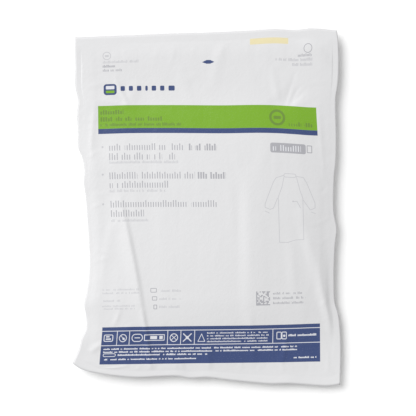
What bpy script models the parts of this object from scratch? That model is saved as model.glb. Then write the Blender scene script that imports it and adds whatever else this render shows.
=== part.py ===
"""Sealed surgical gown pouch: two film webs, heat-sealed all round a folded gown.

The pouch lies on its back web. +Z is up, +Y runs from the foot seal to the header, and +X is to the
right of the printed front. The origin is in the middle of the underside.

Places on the film are given as (across, along): the distance from the left cut edge and from the foot
cut edge, measured on the flat film before it was filled. The tables below are in millimetres.
"""

from collections import namedtuple

import bmesh
import bpy
import numpy as np

MM = 0.001

# The webs, as cut, and their seals
CUT_WIDTH = 305.0
CUT_LENGTH = 406.0
WALL = 1.0
SEAM_GAP = 0.3
SIDE_SEAL = 7.0
END_SEAL = 10.0

# The printed panel on the front web, from the left cut edge
PRINT_LEFT = 25.5
PRINT_RIGHT = 279.5

# How far in from an edge the height of that edge is felt, in each web
BACK_LIFT_REACH = 42.0
FRONT_LIFT_REACH = 90.0

# How much higher the inner line of a seal lies than the cut edge
SIDE_DROOP = 0.9
HEAD_DROOP = 0.5
FOOT_DROOP = -0.3

# The contents under the film, and the air that parts the webs next to a seal
BULGE = 19.1
PUFF = 1.2
PUFF_REACH = 24.0
PUFF_POWER = 1.7

# The folded gown, as placed between the webs
GOWN_LEFT = 44.0
GOWN_RIGHT = 261.0
GOWN_FOOT = 50.0
GOWN_HEAD = 342.0
GOWN_CORNER = 24.0
GOWN_LAYERS = 4
GOWN_EDGE_HEIGHT = 7.2
TOP_CLEARANCE = 1.2
CORNER_POINTS = 5
SIDE_PARTS = 8

# One layer's rounded edge, as a share of its thickness and how far in it lies, and the top's rings
LAYER_EDGE = ((0.0, 1.8), (0.3, 0.3), (0.7, 0.3))
TOP_INSETS = (4.0, 11.0, 24.0, 45.0, 70.0, 95.0)

# Grid lines on the film, from a cut edge inwards, and how many lie between the margins
SIDE_LINES = (0.0, SIDE_SEAL / 2, SIDE_SEAL, 12.5, 18.5)
END_LINES = (0.0, END_SEAL / 2, END_SEAL, 16.0, 22.5)
END_MARGIN = 30.0
LINES_ACROSS = 27
LINES_ALONG = 37

# Mesh finish
SHARP_ANGLE = 50.0

FILM_WHITE = (0.80, 0.80, 0.81, 1.0)
BACK_WHITE = (0.78, 0.79, 0.80, 1.0)
GOWN_BLUE = (0.18, 0.34, 0.50, 1.0)

# An edge of the laid pouch: along is the place on the cut edge, out is where it lies seen from above,
# lift is how far it stands off the surface.
EdgeStation = namedtuple("EdgeStation", "along out lift")
PrintStation = namedtuple("PrintStation", "along left right")
RiseStation = namedtuple("RiseStation", "along share")
Fold = namedtuple("Fold", "across_0 along_0 across_1 along_1 height half_width")

LEFT_EDGE = (
    EdgeStation(0, -156.0, 9.5),
    EdgeStation(18, -150.0, 9.2),
    EdgeStation(43, -146.5, 8.8),
    EdgeStation(53, -145.0, 8.6),
    EdgeStation(66, -139.9, 8.4),
    EdgeStation(79, -139.7, 8.4),
    EdgeStation(93, -141.7, 8.8),
    EdgeStation(110, -138.3, 8.5),
    EdgeStation(134, -135.2, 8),
    EdgeStation(165, -135.4, 8),
    EdgeStation(197, -137.2, 8.2),
    EdgeStation(219, -138.6, 8.4),
    EdgeStation(236, -140.6, 8.8),
    EdgeStation(252, -139.6, 9.2),
    EdgeStation(266, -142.4, 8.8),
    EdgeStation(275, -146.1, 8.2),
    EdgeStation(296, -146.9, 7.8),
    EdgeStation(318, -147.2, 7.8),
    EdgeStation(330, -145.9, 8),
    EdgeStation(346, -149.1, 7.6),
    EdgeStation(371, -148.8, 7.6),
    EdgeStation(406, -149.4, 7.6),
)

RIGHT_EDGE = (
    EdgeStation(0, 151.6, 8),
    EdgeStation(32, 153.0, 7.5),
    EdgeStation(54, 152.7, 7.5),
    EdgeStation(76, 150.7, 7.8),
    EdgeStation(92, 146.5, 8.2),
    EdgeStation(114, 145.8, 8.8),
    EdgeStation(131, 146.0, 8.9),
    EdgeStation(163, 148.0, 8.4),
    EdgeStation(179, 150.0, 8.2),
    EdgeStation(199, 146.8, 8.8),
    EdgeStation(240, 147.3, 8.8),
    EdgeStation(263, 149.8, 8.6),
    EdgeStation(292, 150.7, 8.6),
    EdgeStation(312, 150.4, 8.8),
    EdgeStation(334, 150.6, 9),
    EdgeStation(352, 153.7, 8.8),
    EdgeStation(394, 154.2, 8.8),
    EdgeStation(406, 152.7, 8.8),
)

FOOT_EDGE = (
    EdgeStation(0, -178.1, 9.5),
    EdgeStation(6, -183.0, 9.6),
    EdgeStation(14, -187.0, 9.7),
    EdgeStation(28, -190.4, 9.8),
    EdgeStation(50, -193.7, 9.8),
    EdgeStation(72, -195.4, 9.6),
    EdgeStation(93, -194.6, 9.4),
    EdgeStation(118, -194.6, 9.4),
    EdgeStation(129, -196.9, 8.8),
    EdgeStation(150, -196.3, 9),
    EdgeStation(172, -199.4, 8.8),
    EdgeStation(203, -203.0, 8.4),
    EdgeStation(222, -204.9, 8.4),
    EdgeStation(243, -204.7, 8.6),
    EdgeStation(265, -206.6, 7.8),
    EdgeStation(289, -208.2, 7.8),
    EdgeStation(305, -206.4, 8),
)

HEAD_EDGE = (
    EdgeStation(0, 197.2, 7.6),
    EdgeStation(73, 198.9, 8.6),
    EdgeStation(110, 199.9, 9.2),
    EdgeStation(154, 200.6, 9.4),
    EdgeStation(200, 202.1, 9.4),
    EdgeStation(231, 203.6, 9.4),
    EdgeStation(255, 202.4, 9.2),
    EdgeStation(274, 204.0, 9.2),
    EdgeStation(305, 201.4, 8.8),
)

PRINT_EDGES = (
    PrintStation(0, -126.5, 129.0),
    PrintStation(25, -125.2, 129.0),
    PrintStation(67, -121.3, 129.0),
    PrintStation(291, -123.2, 128.8),
    PrintStation(323, -123.2, 127.6),
    PrintStation(406, -124.0, 129.0),
)

# The bulge of the contents: its share of the full height at places across and along the film
RISE_ACROSS = (
    RiseStation(7, 0),
    RiseStation(28, 0.158),
    RiseStation(48, 0.416),
    RiseStation(58, 0.54),
    RiseStation(72, 0.685),
    RiseStation(90, 0.804),
    RiseStation(108, 0.861),
    RiseStation(128, 0.914),
    RiseStation(156, 0.971),
    RiseStation(184, 1),
    RiseStation(203, 0.997),
    RiseStation(221, 0.963),
    RiseStation(240, 0.782),
    RiseStation(249, 0.665),
    RiseStation(258, 0.537),
    RiseStation(268, 0.368),
    RiseStation(286, 0.1),
    RiseStation(298, 0),
)

RISE_ALONG = (
    RiseStation(10, 0),
    RiseStation(18, 0.02),
    RiseStation(25, 0.06),
    RiseStation(33, 0.132),
    RiseStation(40, 0.222),
    RiseStation(50, 0.376),
    RiseStation(60, 0.55),
    RiseStation(70, 0.714),
    RiseStation(80, 0.835),
    RiseStation(90, 0.907),
    RiseStation(110, 0.955),
    RiseStation(130, 0.987),
    RiseStation(150, 1),
    RiseStation(200, 0.976),
    RiseStation(240, 0.939),
    RiseStation(270, 0.892),
    RiseStation(290, 0.839),
    RiseStation(300, 0.802),
    RiseStation(316, 0.717),
    RiseStation(330, 0.601),
    RiseStation(350, 0.389),
    RiseStation(370, 0.183),
    RiseStation(385, 0.063),
    RiseStation(396, 0),
)

# The largest folds of the front web, as soft ridges, or troughs where height is below zero
FOLDS = (
    Fold(52, 212, 88, 64, 2.0, 9),
    Fold(86, 74, 95, 22, 1.2, 8),
    Fold(55, 205, 26, 112, 0.9, 10),
    Fold(256, 205, 297, 58, 1.6, 14),
    Fold(190, 262, 188, 92, 0.8, 16),
    Fold(246, 168, 250, 96, 0.6, 11),
    Fold(47, 92, 38, 66, 1.0, 8),
    Fold(240, 60, 236, 22, 1.2, 8),
    Fold(102, 72, 100, 20, -0.8, 10),
    Fold(146, 66, 150, 18, 0.7, 10),
    Fold(172, 402, 158, 340, 0.6, 12),
    Fold(250, 398, 297, 368, 1.0, 11),
    Fold(262, 350, 222, 316, -0.9, 14),
    Fold(70, 352, 58, 314, 0.6, 12),
)

# Where the flat film's middle lies seen from above, and how far in the pull of each end is felt
FOOT_START = 205.0
FOOT_REACH = 27.0
CORNER_REACH = 38.0
HEAD_REACH = 80.0


def smoothstep(t):
    """0 to 1 with level ends, for t from 0 to 1."""
    t = np.clip(t, 0.0, 1.0)
    return t * t * (3 - 2 * t)


def curve_through(rows, column, at):
    """The named column at the places `at`, on a smooth curve through the rows."""
    x = np.array([row.along for row in rows], float)
    y = np.array([getattr(row, column) for row in rows], float)
    chord = np.diff(y) / np.diff(x)
    slope = np.concatenate([chord[:1], (chord[:-1] + chord[1:]) / 2, chord[-1:]])
    i = np.clip(np.searchsorted(x, at, side="right") - 1, 0, len(x) - 2)
    width = x[i + 1] - x[i]
    t = np.clip((at - x[i]) / width, 0.0, 1.0)
    start = y[i] * (1 + 2 * t) * (1 - t) ** 2 + slope[i] * width * t * (1 - t) ** 2
    end = y[i + 1] * t * t * (3 - 2 * t) + slope[i + 1] * width * t * t * (t - 1)
    return start + end


def parting(distance):
    """How the webs part next to a seal, from 0 to 1: steep at the seal, then level."""
    return 1 - (1 - np.clip(distance / PUFF_REACH, 0.0, 1.0)) ** PUFF_POWER


def plan(across, along):
    """Where points of the film lie seen from above."""
    left = curve_through(LEFT_EDGE, "out", along)
    right = curve_through(RIGHT_EDGE, "out", along)
    print_left = curve_through(PRINT_EDGES, "left", along)
    print_right = curve_through(PRINT_EDGES, "right", along)
    panel = (across - PRINT_LEFT) / (PRINT_RIGHT - PRINT_LEFT)
    x = print_left + (print_right - print_left) * panel
    in_left = across / PRINT_LEFT
    x = np.where(across < PRINT_LEFT, left + (print_left - left) * in_left, x)
    in_right = (across - PRINT_RIGHT) / (CUT_WIDTH - PRINT_RIGHT)
    x = np.where(across > PRINT_RIGHT, print_right + (right - print_right) * in_right, x)

    foot_pull = curve_through(FOOT_EDGE, "out", across) + FOOT_START
    foot_reach = FOOT_REACH + CORNER_REACH * np.clip(1 - in_left, 0.0, 1.0)
    head_pull = curve_through(HEAD_EDGE, "out", across) - (CUT_LENGTH - FOOT_START)
    y = along - FOOT_START
    y = y + foot_pull * (1 - smoothstep(along / foot_reach))
    y = y + head_pull * (1 - smoothstep((CUT_LENGTH - along) / HEAD_REACH))
    return x, y


def edge_share(distance, seal, reach):
    """How much of an edge's height is felt this far in: all of it over the seal, then less."""
    return 1 - smoothstep((distance - seal) / (reach - seal))


def edge_height(edge, at, distance, seal, droop):
    """An edge's height at a place on it, with the small step from the cut edge to the seal's inner line."""
    return curve_through(edge, "lift", at) + droop * np.clip(distance / seal, 0.0, 1.0)


def lift(across, along, reach):
    """How far the curled edges raise the film off the surface; its middle lies flat."""
    right, head = CUT_WIDTH - across, CUT_LENGTH - along
    near_left = edge_share(across, SIDE_SEAL, reach)
    near_right = edge_share(right, SIDE_SEAL, reach)
    near_foot = edge_share(along, END_SEAL, reach)
    near_head = edge_share(head, END_SEAL, reach)
    sides = edge_height(LEFT_EDGE, along, across, SIDE_SEAL, SIDE_DROOP) * near_left
    sides = sides + edge_height(RIGHT_EDGE, along, right, SIDE_SEAL, SIDE_DROOP) * near_right
    ends = edge_height(FOOT_EDGE, across, along, END_SEAL, FOOT_DROOP) * near_foot
    ends = ends + edge_height(HEAD_EDGE, across, head, END_SEAL, HEAD_DROOP) * near_head
    shared = FOOT_EDGE[0].lift * near_left * near_foot + FOOT_EDGE[-1].lift * near_right * near_foot
    shared = shared + HEAD_EDGE[0].lift * near_left * near_head
    shared = shared + HEAD_EDGE[-1].lift * near_right * near_head
    return np.maximum(sides + ends - shared, 0.0)


def fold(row, across, along):
    """One soft ridge, tapered to nothing at both ends."""
    start = np.array([row.across_0, row.along_0])
    run = np.array([row.across_1, row.along_1]) - start
    length = np.hypot(*run)
    offset_across, offset_along = across - start[0], along - start[1]
    t = (offset_across * run[0] + offset_along * run[1]) / length**2
    off_line = (offset_across * run[1] - offset_along * run[0]) / length
    ends = np.sin(np.pi * np.clip(t, 0.0, 1.0)) ** 0.5
    return row.height * ends * np.clip(1 - (off_line / row.half_width) ** 2, 0.0, 1.0) ** 2


def contents_bulge(across, along):
    """How far the contents push the front web off the back web, without the folds."""
    dome = curve_through(RISE_ACROSS, "share", across) * curve_through(RISE_ALONG, "share", along)
    raised = lift(across, along, FRONT_LIFT_REACH) - lift(across, along, BACK_LIFT_REACH)
    return np.maximum(BULGE * dome + raised, 0.0)


def front_rise(across, along):
    """How far the front web stands off the back web inside the seals."""
    inside = np.minimum(across - SIDE_SEAL, CUT_WIDTH - SIDE_SEAL - across)
    inside = np.minimum(inside, np.minimum(along - END_SEAL, CUT_LENGTH - END_SEAL - along))
    air = parting(inside)
    rise = np.hypot(contents_bulge(across, along) * (inside > 0), PUFF * air)
    for row in FOLDS:
        rise = rise + fold(row, across, along) * air
    return np.maximum(rise, 0.0)


def film_grid():
    """The grid of places on the film, closer together in the margins."""
    side_lines = np.array(SIDE_LINES)
    end_lines = np.array(END_LINES)
    middle_across = np.linspace(PRINT_LEFT, PRINT_RIGHT, LINES_ACROSS)
    middle_along = np.linspace(END_MARGIN, CUT_LENGTH - END_MARGIN, LINES_ALONG)
    across = np.concatenate([side_lines, middle_across, CUT_WIDTH - side_lines[::-1]])
    along = np.concatenate([end_lines, middle_along, CUT_LENGTH - end_lines[::-1]])
    return np.meshgrid(across, along, indexing="ij")


def moved_out(points, distance):
    """A sheet of points moved off along its own normals."""
    run_across = np.gradient(points, axis=0)
    run_along = np.gradient(points, axis=1)
    normal = np.cross(run_across, run_along)
    normal /= np.linalg.norm(normal, axis=2, keepdims=True)
    return points + normal * distance


def sheet_faces(columns, rows, start, flipped):
    """Quads of a grid whose point (i, j) has the index start + i * rows + j."""
    faces = []
    for i in range(columns - 1):
        for j in range(rows - 1):
            a = start + i * rows + j
            quad = (a, a + rows, a + rows + 1, a + 1)
            faces.append(quad[::-1] if flipped else quad)
    return faces


def rim_faces(columns, rows, below, above):
    """Quads that join the edges of two such grids, all round."""
    loop = [i * rows for i in range(columns)]
    loop += [(columns - 1) * rows + j for j in range(1, rows)]
    loop += [i * rows + rows - 1 for i in range(columns - 2, -1, -1)]
    loop += [j for j in range(rows - 2, 0, -1)]
    faces = []
    for here, there in zip(loop, loop[1:] + loop[:1]):
        faces.append((below + here, below + there, above + there, above + here))
    return faces


def finished(name, mesh, material):
    """An object of that mesh, in the scene, with its normals out and smooth shading."""
    mesh.update()
    mesh.materials.append(material)
    mesh.shade_smooth()
    mesh.set_sharp_from_angle(angle=np.radians(SHARP_ANGLE))
    piece = bpy.data.objects.new(name, mesh)
    bpy.context.scene.collection.objects.link(piece)
    return piece


def wall_between(name, under, over, material):
    """A closed wall between two sheets of points."""
    columns, rows = under.shape[:2]
    count = columns * rows
    points = np.concatenate([under.reshape(-1, 3), over.reshape(-1, 3)]) * MM
    faces = sheet_faces(columns, rows, 0, flipped=True)
    faces += sheet_faces(columns, rows, count, flipped=False)
    faces += rim_faces(columns, rows, 0, count)
    mesh = bpy.data.meshes.new(name)
    mesh.from_pydata(points.tolist(), [], faces)
    return finished(name, mesh, material)


def is_level(face):
    """Whether all the corners of a face lie at exactly one height."""
    return len({corner.co.z for corner in face.verts}) == 1


def merge_level_faces(piece):
    """Makes one face of each stretch that lies level."""
    form = bmesh.new()
    form.from_mesh(piece.data)
    inner = [edge for edge in form.edges if all(is_level(face) for face in edge.link_faces)]
    bmesh.ops.dissolve_edges(form, edges=inner, use_verts=True)
    form.to_mesh(piece.data)
    form.free()


def plain_material(name, colour, roughness):
    """A Principled material of one colour."""
    material = bpy.data.materials.new(name)
    material.use_nodes = True
    shader = material.node_tree.nodes["Principled BSDF"]
    shader.inputs["Base Color"].default_value = colour
    shader.inputs["Roughness"].default_value = roughness
    shader.inputs["Metallic"].default_value = 0.0
    material.diffuse_color = colour
    return material


def film_sheets(across, along):
    """The four surfaces of the two webs: 0.3 mm apart in the seals, parted by the contents inside them."""
    x, y = plan(across, along)
    underside = np.stack([x, y, lift(across, along, BACK_LIFT_REACH)], axis=2)
    back_top = moved_out(underside, WALL)
    front_under = moved_out(underside, WALL + SEAM_GAP)
    front_under[:, :, 2] += front_rise(across, along)
    front_top = moved_out(front_under, WALL)
    return np.stack([underside, back_top, front_under, front_top])


def middle_of_outline(sheets):
    """The middle of the pouch's outline seen from above, on the surface it lies on."""
    points = sheets.reshape(-1, 3)
    middle = (points.min(axis=0) + points.max(axis=0)) / 2
    middle[2] = 0.0
    return middle


def build_webs(sheets):
    """The back web and the front web."""
    underside, back_top, front_under, front_top = sheets
    back = wall_between("back_web", underside, back_top, plain_material("back_film", BACK_WHITE, 0.5))
    merge_level_faces(back)
    wall_between("front_web", front_under, front_top, plain_material("front_film", FILM_WHITE, 0.42))


def rounded_outline(inset):
    """Places on the film round the gown, this far inside its edge, anticlockwise from its right side."""
    radius = max(GOWN_CORNER - inset, 2.0)
    across = (GOWN_RIGHT - GOWN_LEFT) / 2 - inset - radius
    along = (GOWN_HEAD - GOWN_FOOT) / 2 - inset - radius
    middle = np.array([GOWN_LEFT + GOWN_RIGHT, GOWN_FOOT + GOWN_HEAD]) / 2
    corners = np.array([(across, along), (-across, along), (-across, -along), (across, -along)])
    outline = []
    for quarter in range(4):
        angles = (quarter + np.linspace(0, 1, CORNER_POINTS)) * np.pi / 2
        arc = corners[quarter] + radius * np.stack([np.cos(angles), np.sin(angles)], axis=1)
        side = corners[(quarter + 1) % 4] - corners[quarter]
        shares = np.arange(1, SIDE_PARTS)[:, None] / SIDE_PARTS
        outline += [arc, arc[-1] + side * shares]
    return middle + np.concatenate(outline)


def ring_at(spots, height):
    """A ring of points over these places on the film."""
    x, y = plan(*spots.T)
    return np.stack([x, y, height], axis=1)


def gown_rings():
    """Rings of points from the gown's foot, up its layered edge and in over its top."""
    floor = WALL + SEAM_GAP
    layer = GOWN_EDGE_HEIGHT / GOWN_LAYERS
    rings = []
    for k in range(GOWN_LAYERS):
        for share, tuck in LAYER_EDGE:
            spots = rounded_outline(tuck)
            rings.append(ring_at(spots, np.full(len(spots), floor + (k + share) * layer)))
    for inset in TOP_INSETS:
        spots = rounded_outline(inset)
        film = np.minimum(contents_bulge(*spots.T), front_rise(*spots.T))
        height = np.maximum(floor + film - TOP_CLEARANCE, floor + GOWN_EDGE_HEIGHT)
        if inset == TOP_INSETS[-1]:
            height = np.full(len(height), height.min())
        rings.append(ring_at(spots, height))
    return rings


def build_gown(middle):
    """The folded gown: one rounded solid whose edges show its layers."""
    rings = gown_rings()
    around = len(rings[0])
    faces = [tuple(range(around - 1, -1, -1))]
    for k in range(len(rings) - 1):
        for i in range(around):
            here, there = k * around + i, k * around + (i + 1) % around
            faces.append((here, there, there + around, here + around))
    top = (len(rings) - 1) * around
    faces.append(tuple(range(top, top + around)))
    points = (np.concatenate(rings) - middle) * MM
    mesh = bpy.data.meshes.new("folded_gown")
    mesh.from_pydata(points.tolist(), [], faces)
    return finished("folded_gown", mesh, plain_material("gown_cloth", GOWN_BLUE, 0.85))


def main():
    for old in list(bpy.data.objects):
        bpy.data.objects.remove(old, do_unlink=True)
    across, along = film_grid()
    sheets = film_sheets(across, along)
    middle = middle_of_outline(sheets)
    build_webs(sheets - middle)
    build_gown(middle)


main()
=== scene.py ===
"""The dressed model of a sealed surgical gown pouch, lying flat.

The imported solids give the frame. Each web of film is laid again here on a finer grid, with its creases,
and printed by nodes that read where a point lies on the film as it was cut. Film places are in
millimetres, (across, along), from the left and the foot cut edges. Meshes are in metres.
"""

from __future__ import annotations

import logging
import math
from dataclasses import dataclass
from enum import Enum
from typing import Iterable, NamedTuple, Sequence, Union

import bpy
import numpy as np
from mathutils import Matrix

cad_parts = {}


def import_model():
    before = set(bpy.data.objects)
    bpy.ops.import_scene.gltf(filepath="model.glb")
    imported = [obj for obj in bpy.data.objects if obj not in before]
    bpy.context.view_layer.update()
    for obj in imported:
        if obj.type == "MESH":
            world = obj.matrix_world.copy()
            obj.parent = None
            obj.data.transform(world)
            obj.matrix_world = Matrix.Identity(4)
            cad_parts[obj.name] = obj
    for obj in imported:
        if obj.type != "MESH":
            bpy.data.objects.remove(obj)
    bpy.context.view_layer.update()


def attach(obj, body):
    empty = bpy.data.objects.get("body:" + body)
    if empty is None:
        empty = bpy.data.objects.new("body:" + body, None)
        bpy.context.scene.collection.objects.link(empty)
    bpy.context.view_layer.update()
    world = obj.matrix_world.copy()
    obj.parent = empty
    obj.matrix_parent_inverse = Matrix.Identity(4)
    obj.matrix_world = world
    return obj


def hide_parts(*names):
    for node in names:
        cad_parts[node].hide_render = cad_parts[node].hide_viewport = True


LOG = logging.getLogger("gown_pouch")
MM = 0.001
FILM = "film"
SOLID = 1000.0

Array = np.ndarray
Socket = bpy.types.NodeSocket
Value = Union[float, Sequence[float], Socket]
Colour = tuple[float, float, float]


# How the film lies


class EdgeStation(NamedTuple):
    """A place on a cut edge: how far along it, where it lies seen from above, and its height."""

    along: float
    out: float
    lift: float


class PrintStation(NamedTuple):
    """Where the two sides of the printed panel lie seen from above, at a distance along the film."""

    along: float
    left: float
    right: float


class DriftStation(NamedTuple):
    """How far the film has slipped up the pouch, at a place across it: at the upper and the lower band."""

    along: float
    upper: float
    lower: float


class RiseStation(NamedTuple):
    """The contents' share of their full height under the film, at a place across or along it."""

    along: float
    share: float


class Crease(NamedTuple):
    """A ridge of the film, or a trough where its height is below zero.

    The line runs from start to end, left and right are its reach to each side of that line, and bow is
    how far its middle stands off to the left. A sharpness of 2 is a soft crest and 1 a pinched one.
    """

    start: tuple[float, float]
    end: tuple[float, float]
    height: float
    left: float
    right: float
    bow: float = 0.0
    sharpness: float = 2.0


LEFT_EDGE = (
    EdgeStation(0, -156.0, 9.5),
    EdgeStation(18, -150.0, 9.2),
    EdgeStation(43, -146.5, 8.8),
    EdgeStation(53, -145.0, 8.6),
    EdgeStation(66, -139.9, 8.4),
    EdgeStation(79, -139.7, 8.4),
    EdgeStation(93, -141.7, 8.8),
    EdgeStation(110, -138.3, 8.5),
    EdgeStation(134, -135.2, 8),
    EdgeStation(165, -135.4, 8),
    EdgeStation(197, -137.2, 8.2),
    EdgeStation(219, -138.6, 8.4),
    EdgeStation(236, -140.6, 8.8),
    EdgeStation(252, -139.6, 9.2),
    EdgeStation(266, -142.4, 8.8),
    EdgeStation(275, -146.1, 8.2),
    EdgeStation(296, -146.9, 7.8),
    EdgeStation(318, -147.2, 7.8),
    EdgeStation(330, -145.9, 8),
    EdgeStation(346, -149.1, 7.6),
    EdgeStation(371, -148.8, 7.6),
    EdgeStation(406, -149.4, 7.6),
)

RIGHT_EDGE = (
    EdgeStation(0, 151.6, 8),
    EdgeStation(32, 153.0, 7.5),
    EdgeStation(54, 152.7, 7.5),
    EdgeStation(76, 150.7, 7.8),
    EdgeStation(92, 146.5, 8.2),
    EdgeStation(114, 145.8, 8.8),
    EdgeStation(131, 146.0, 8.9),
    EdgeStation(163, 148.0, 8.4),
    EdgeStation(179, 150.0, 8.2),
    EdgeStation(199, 146.8, 8.8),
    EdgeStation(240, 147.3, 8.8),
    EdgeStation(263, 149.8, 8.6),
    EdgeStation(292, 150.7, 8.6),
    EdgeStation(312, 150.4, 8.8),
    EdgeStation(334, 150.6, 9),
    EdgeStation(352, 153.7, 8.8),
    EdgeStation(394, 154.2, 8.8),
    EdgeStation(406, 152.7, 8.8),
)

FOOT_EDGE = (
    EdgeStation(0, -178.1, 9.5),
    EdgeStation(6, -183.0, 9.6),
    EdgeStation(14, -187.0, 9.7),
    EdgeStation(28, -190.4, 9.8),
    EdgeStation(50, -193.7, 9.8),
    EdgeStation(72, -195.4, 9.6),
    EdgeStation(93, -194.6, 9.4),
    EdgeStation(118, -194.6, 9.4),
    EdgeStation(129, -196.9, 8.8),
    EdgeStation(150, -196.3, 9),
    EdgeStation(172, -199.4, 8.8),
    EdgeStation(203, -203.0, 8.4),
    EdgeStation(222, -204.9, 8.4),
    EdgeStation(243, -204.7, 8.6),
    EdgeStation(265, -206.6, 7.8),
    EdgeStation(289, -208.2, 7.8),
    EdgeStation(305, -206.4, 8),
)

HEAD_EDGE = (
    EdgeStation(0, 197.2, 7.6),
    EdgeStation(73, 198.9, 8.6),
    EdgeStation(110, 199.9, 9.2),
    EdgeStation(154, 200.6, 9.4),
    EdgeStation(200, 202.1, 9.4),
    EdgeStation(231, 203.6, 9.4),
    EdgeStation(255, 202.4, 9.2),
    EdgeStation(274, 204.0, 9.2),
    EdgeStation(305, 201.4, 8.8),
)

PRINT_EDGES = (
    PrintStation(0, -126.5, 129.0),
    PrintStation(25, -125.2, 129.0),
    PrintStation(67, -121.3, 129.0),
    PrintStation(291, -123.2, 128.8),
    PrintStation(323, -123.2, 127.6),
    PrintStation(406, -124.0, 129.0),
)

DRIFT = (
    DriftStation(0, -0.8, 1.0),
    DriftStation(30, -0.6, 1.2),
    DriftStation(60, -0.2, 1.6),
    DriftStation(113, -0.8, 1.8),
    DriftStation(171, -1.9, 1.8),
    DriftStation(214, -1.9, 1.9),
    DriftStation(235, -2.6, 2.1),
    DriftStation(252, -3.8, 2.3),
    DriftStation(272, -5.3, 2.6),
    DriftStation(305, -6.0, 2.6),
)

RISE_ACROSS = (
    RiseStation(7, 0),
    RiseStation(28, 0.168),
    RiseStation(48, 0.445),
    RiseStation(58, 0.578),
    RiseStation(72, 0.728),
    RiseStation(90, 0.846),
    RiseStation(108, 0.897),
    RiseStation(128, 0.940),
    RiseStation(156, 0.983),
    RiseStation(184, 1),
    RiseStation(203, 0.997),
    RiseStation(221, 0.963),
    RiseStation(240, 0.782),
    RiseStation(249, 0.665),
    RiseStation(258, 0.537),
    RiseStation(268, 0.368),
    RiseStation(286, 0.1),
    RiseStation(298, 0),
)

RISE_ALONG = (
    RiseStation(10, 0),
    RiseStation(18, 0.02),
    RiseStation(25, 0.06),
    RiseStation(33, 0.132),
    RiseStation(40, 0.222),
    RiseStation(50, 0.376),
    RiseStation(60, 0.55),
    RiseStation(70, 0.714),
    RiseStation(80, 0.835),
    RiseStation(90, 0.907),
    RiseStation(110, 0.955),
    RiseStation(130, 0.987),
    RiseStation(150, 1),
    RiseStation(200, 0.976),
    RiseStation(240, 0.939),
    RiseStation(270, 0.892),
    RiseStation(290, 0.839),
    RiseStation(300, 0.802),
    RiseStation(316, 0.717),
    RiseStation(330, 0.601),
    RiseStation(350, 0.389),
    RiseStation(370, 0.183),
    RiseStation(385, 0.063),
    RiseStation(396, 0),
)

# The creases that show from a step away, as they lie on this pouch
MAIN_CREASES = (
    Crease((48, 222), (76, 60), 1.8, 5.2, 18, 1.0, 1.2),
    Crease((72, 88), (87, 10), 1.6, 4, 8, 0.0, 1.1),
    Crease((44, 200), (26, 112), 0.4, 12, 8, -4.0, 1.6),
    Crease((256, 205), (303, 38), 1.6, 24, 13, 1.0, 1.5),
    Crease((199, 252), (197, 60), 1.1, 27, 15, 0.0, 1.8),
    Crease((272, 132), (300, 48), 0.8, 14, 12, 0.0, 1.5),
    Crease((246, 168), (250, 96), 0.5, 9, 10, 0.0, 1.6),
    Crease((263, 176), (268, 100), 0.4, 8, 9, 2.0, 1.6),
    Crease((47, 92), (38, 66), 0.55, 5, 6, 1.0, 1.2),
    Crease((197, 84), (203, 20), 0.6, 8, 9, 0.0, 1.5),
    Crease((240, 60), (236, 22), 1.0, 4, 7, 1.0, 1.1),
    Crease((102, 72), (100, 20), -0.6, 9, 8, 0.0, 1.6),
    Crease((146, 66), (150, 18), 0.5, 9, 8, 0.0, 1.6),
    Crease((172, 402), (158, 340), 0.4, 12, 10, 0.0, 1.7),
    Crease((250, 398), (297, 368), 0.7, 10, 12, 4.0, 1.5),
    Crease((262, 350), (222, 316), -0.7, 14, 12, 3.0, 1.8),
    Crease((228, 366), (238, 318), 0.4, 8, 8, 0.0, 1.5),
    Crease((70, 352), (58, 314), 0.4, 12, 10, 0.0, 1.8),
    Crease((120, 370), (136, 322), 0.3, 9, 12, 0.0, 1.8),
    Crease((283, 330), (289, 236), 0.35, 7, 6, -2.0, 1.4),
    Crease((22, 330), (15, 262), 0.5, 6, 6, 0.0, 1.4),
    Crease((60, 24), (12, 8), 0.7, 7, 6, 2.0, 1.5),
    Crease((34, 52), (6, 34), 0.7, 6, 7, -1.0, 1.4),
)


class CreaseKind(Enum):
    """Where a family of small creases runs, and which way."""

    SIDE_TUCKS = "across the side margins"
    FOOT_TUCKS = "up from the foot seal"
    HEAD_TUCKS = "down from the header seal"
    CORNER_FANS = "out from the corners of the contents"
    HEADER_RIPPLES = "over the header"
    TOP_STRETCH = "over the flat top"


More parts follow.
